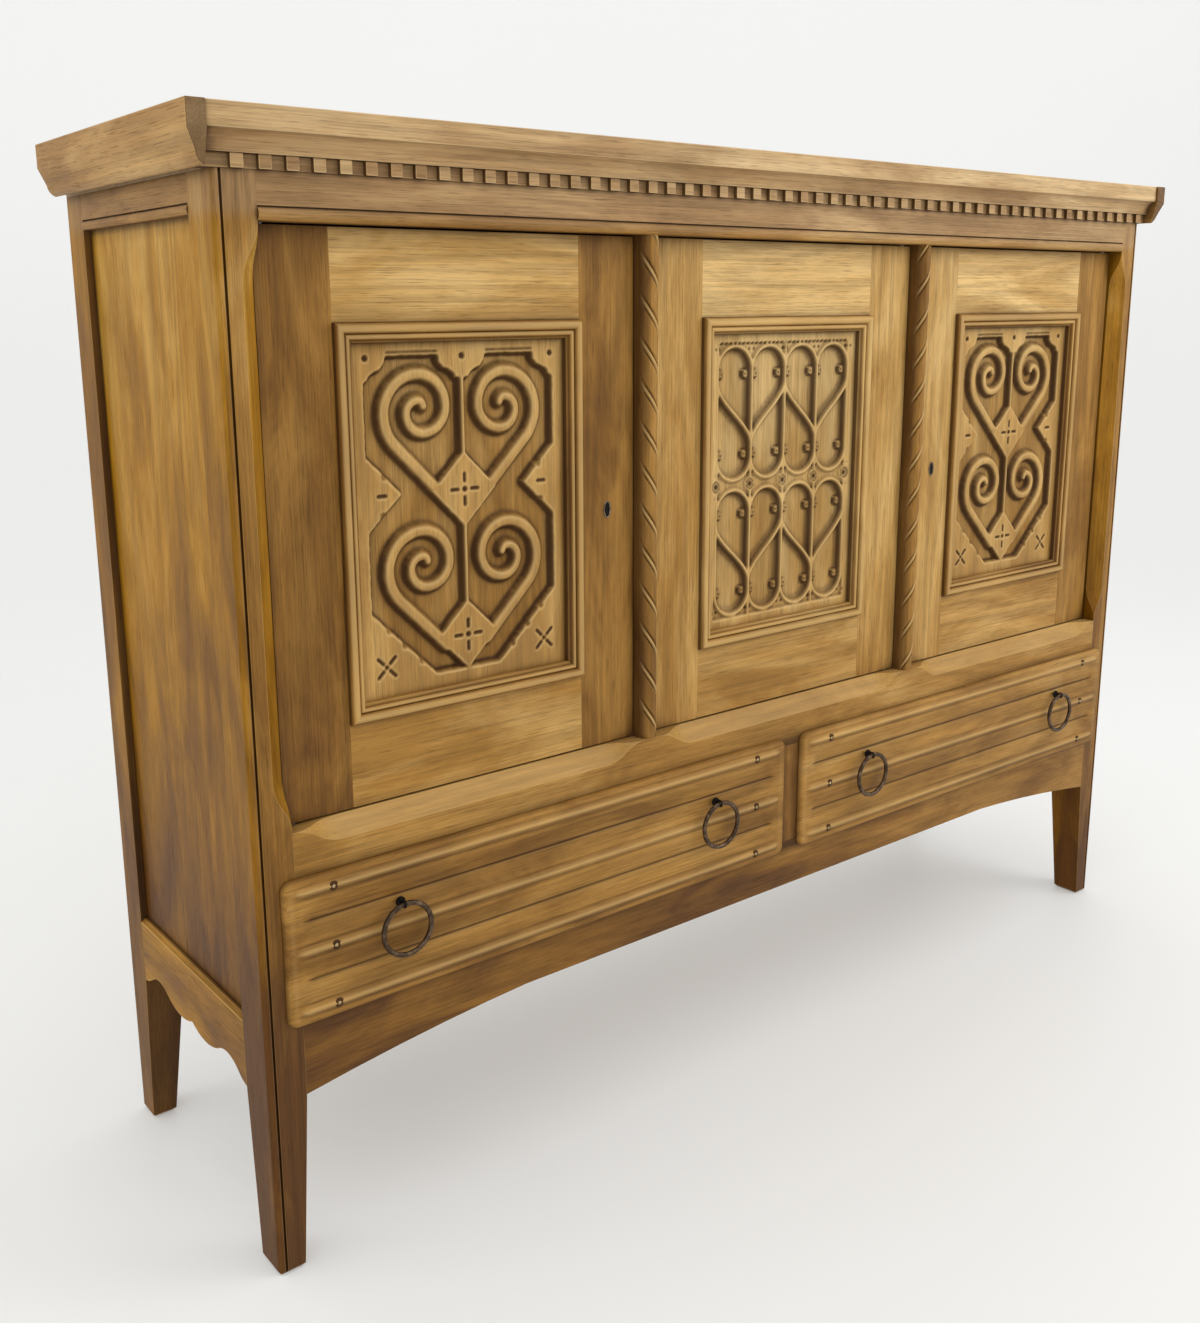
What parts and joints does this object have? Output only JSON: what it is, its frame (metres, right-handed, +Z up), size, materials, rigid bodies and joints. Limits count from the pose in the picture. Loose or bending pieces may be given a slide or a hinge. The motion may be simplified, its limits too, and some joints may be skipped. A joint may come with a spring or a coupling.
{
  "type": "highboard cabinet",
  "caption": "Carved oak highboard cabinet with rope columns between its doors, lipped linenfold drawers on iron rings, an arched apron and a dentil cornice, on tapered legs",
  "frame": {"origin": "on the floor under the middle of the whole cabinet", "axes": "+X to the right of someone who faces the doors, +Y to the back, +Z up"},
  "size_m": [1.7, 0.45, 1.264],
  "materials": {
    "oak": "waxed golden brown oak, worn pale on the arrises",
    "carved_oak": "waxed carved oak with darker ground",
    "inner_wood": "plain planed wood, unwaxed",
    "iron": "forged iron, dark and rubbed",
    "steel": "dull steel",
    "brass": "aged brass"
  },
  "bodies": {
    "cabinet": {"front_left_post": "oak", "front_right_post": "oak", "rear_posts": "oak", "frieze_rail": "oak", "sill_rail": "oak", "arched_apron": "oak", "drawer_divider": "oak", "left_rope_column": "oak", "right_rope_column": "oak", "side_top_rails": "oak", "side_skirts": "oak", "side_panels": "oak", "top_board": "oak", "top_battens": "oak", "cornice_moulding": "oak", "dentil_strip": "oak", "top_bearers": "inner_wood", "back_rails": "inner_wood", "back_panel": "inner_wood", "cabinet_floor": "inner_wood", "partition": "inner_wood", "shelves": "inner_wood", "shelf_cleats": "inner_wood", "drawer_runners": "inner_wood", "pivot_bushes": "brass"},
    "left_door": {"left_door_stiles": "oak", "left_door_rails": "oak", "left_door_panel": "carved_oak", "left_door_moulding": "oak", "left_door_pivots": "steel", "left_door_lock": "steel", "left_door_escutcheon": "brass"},
    "centre_door": {"centre_door_stiles": "oak", "centre_door_rails": "oak", "centre_door_panel": "carved_oak", "centre_door_moulding": "oak", "centre_door_pivots": "steel", "centre_bolt_guide": "steel"},
    "right_door": {"right_door_stiles": "oak", "right_door_rails": "oak", "right_door_panel": "carved_oak", "right_door_moulding": "oak", "right_door_pivots": "steel", "right_door_lock": "steel", "right_door_escutcheon": "brass"},
    "left_lock_bolt_slide": {"left_lock_bolt": "steel"},
    "right_lock_bolt_slide": {"right_lock_bolt": "steel"},
    "centre_bolt_slide": {"centre_door_bolt": "steel"},
    "left_drawer": {"left_drawer_front": "oak", "left_drawer_walls": "inner_wood", "left_drawer_bottom": "inner_wood", "left_drawer_eyes": "iron"},
    "left_drawer_left_pull": {"left_drawer_left_ring": "iron"},
    "left_drawer_right_pull": {"left_drawer_right_ring": "iron"},
    "right_drawer": {"right_drawer_front": "oak", "right_drawer_walls": "inner_wood", "right_drawer_bottom": "inner_wood", "right_drawer_eyes": "iron"},
    "right_drawer_left_pull": {"right_drawer_left_ring": "iron"},
    "right_drawer_right_pull": {"right_drawer_right_ring": "iron"}
  },
  "joints": [
    {"name": "left_door_hinge", "type": "hinge", "parent": "cabinet", "child": "left_door", "pos_m": [-0.76, -0.1715, 0.842], "axis": [0, 0, -1], "range_deg": [0, 100]},
    {"name": "centre_door_hinge", "type": "hinge", "parent": "cabinet", "child": "centre_door", "pos_m": [0.235, -0.1715, 0.842], "axis": [0, 0, 1], "range_deg": [0, 100]},
    {"name": "right_door_hinge", "type": "hinge", "parent": "cabinet", "child": "right_door", "pos_m": [0.76, -0.1715, 0.842], "axis": [0, 0, 1], "range_deg": [0, 100]},
    {"name": "left_lock_bolt_throw", "type": "slide", "parent": "left_door", "child": "left_lock_bolt_slide", "axis": [1, 0, 0], "range_m": [0, 0.007]},
    {"name": "right_lock_bolt_throw", "type": "slide", "parent": "right_door", "child": "right_lock_bolt_slide", "axis": [-1, 0, 0], "range_m": [0, 0.007]},
    {"name": "centre_bolt_throw", "type": "slide", "parent": "centre_door", "child": "centre_bolt_slide", "axis": [0, 0, 1], "range_m": [0, 0.01]},
    {"name": "left_drawer_slide", "type": "slide", "parent": "cabinet", "child": "left_drawer", "axis": [0, -1, 0], "range_m": [0, 0.28]},
    {"name": "left_drawer_left_ring_swing", "type": "hinge", "parent": "left_drawer", "child": "left_drawer_left_pull", "pos_m": [-0.65175, -0.2197, 0.415], "axis": [-1, 0, 0], "range_deg": [0, 100]},
    {"name": "left_drawer_right_ring_swing", "type": "hinge", "parent": "left_drawer", "child": "left_drawer_right_pull", "pos_m": [-0.15775, -0.2197, 0.415], "axis": [-1, 0, 0], "range_deg": [0, 100]},
    {"name": "right_drawer_slide", "type": "slide", "parent": "cabinet", "child": "right_drawer", "axis": [0, -1, 0], "range_m": [0, 0.28]},
    {"name": "right_drawer_left_ring_swing", "type": "hinge", "parent": "right_drawer", "child": "right_drawer_left_pull", "pos_m": [0.15775, -0.2197, 0.415], "axis": [-1, 0, 0], "range_deg": [0, 100]},
    {"name": "right_drawer_right_ring_swing", "type": "hinge", "parent": "right_drawer", "child": "right_drawer_right_pull", "pos_m": [0.65175, -0.2197, 0.415], "axis": [-1, 0, 0], "range_deg": [0, 100]}
  ]
}
